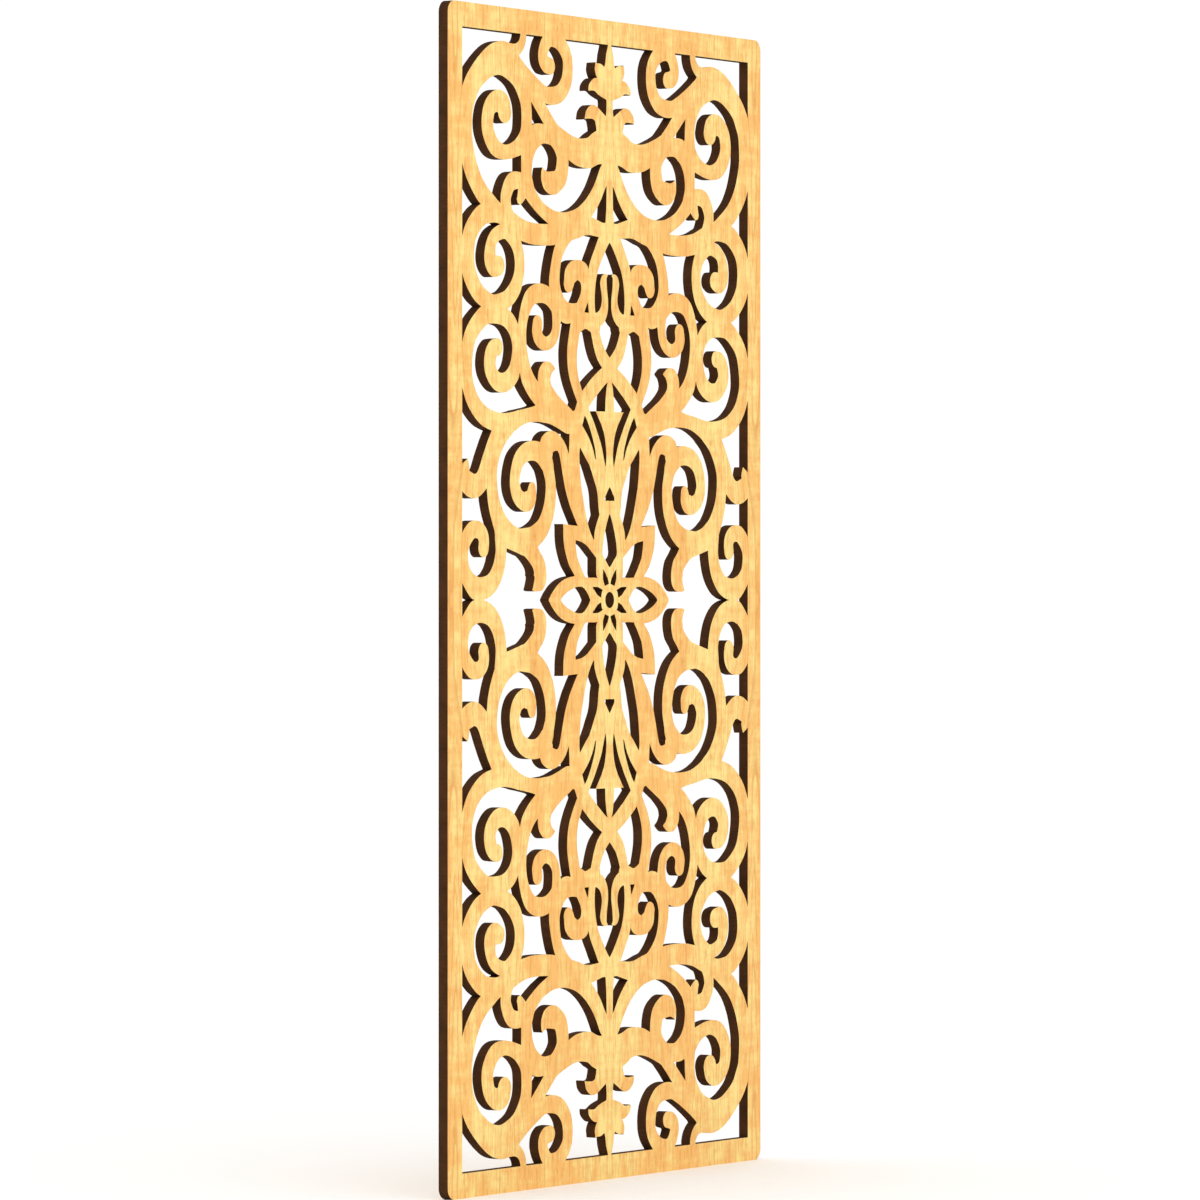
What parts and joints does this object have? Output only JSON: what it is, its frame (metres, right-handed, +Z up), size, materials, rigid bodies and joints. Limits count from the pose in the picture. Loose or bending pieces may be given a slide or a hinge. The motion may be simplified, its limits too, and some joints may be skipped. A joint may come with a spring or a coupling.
{
  "type": "fretwork wall panel",
  "caption": "Upright flat wall panel of veneered board, pierced right through with symmetric scroll fretwork round a central rosette inside a plain border.",
  "frame": {"origin": "middle of the bottom edge, halfway through the thickness", "axes": "+Z up along the panel's height, +X across its width to the right as seen from the front, -Y out of the show face"},
  "size_m": [0.6, 0.011, 1.2],
  "materials": {
    "face_veneer": "clear satin lacquer on pale straight-grained veneer",
    "core": "matt dark brown cut edge"
  },
  "bodies": {
    "root": {"front_veneer": "face_veneer", "core_board": "core", "back_veneer": "face_veneer"}
  },
  "joints": []
}
